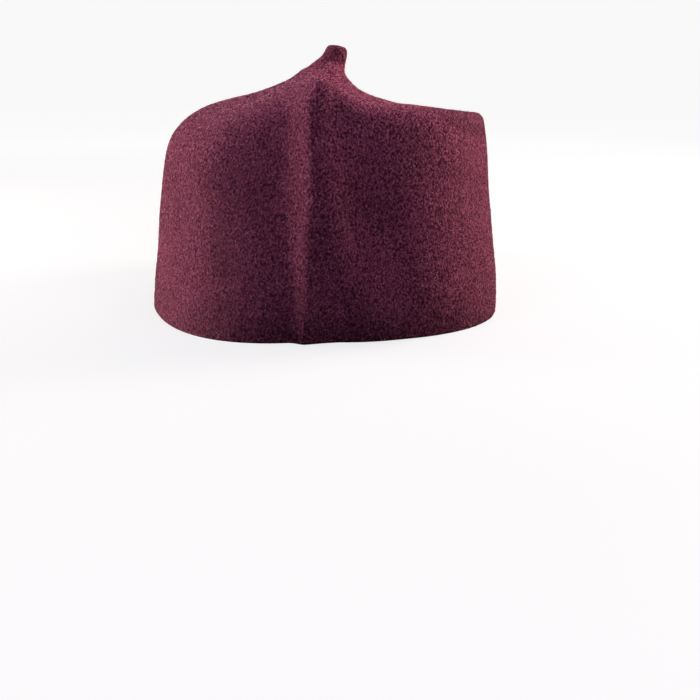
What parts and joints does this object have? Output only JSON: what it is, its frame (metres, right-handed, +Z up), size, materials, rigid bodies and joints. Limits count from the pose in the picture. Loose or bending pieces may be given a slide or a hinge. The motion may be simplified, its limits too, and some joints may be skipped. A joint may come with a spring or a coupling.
{
  "type": "felt cap",
  "caption": "Soft one-piece cap of thick burgundy wool felt, with a tented top drawn up to a short stalk and a fold crease down the front. Worn on the head.",
  "frame": {"origin": "middle of the cap's bounding box in plan, on the plane that the rim rests on", "axes": "+Z up through the stalk, -Y to the front where the sharper crease runs down, +X to the right seen from the front"},
  "size_m": [0.1694, 0.2026, 0.1213],
  "materials": {
    "wool_felt": "matt fulled wool with a short loose nap"
  },
  "bodies": {
    "root": {"felt_cap": "wool_felt"}
  },
  "joints": []
}
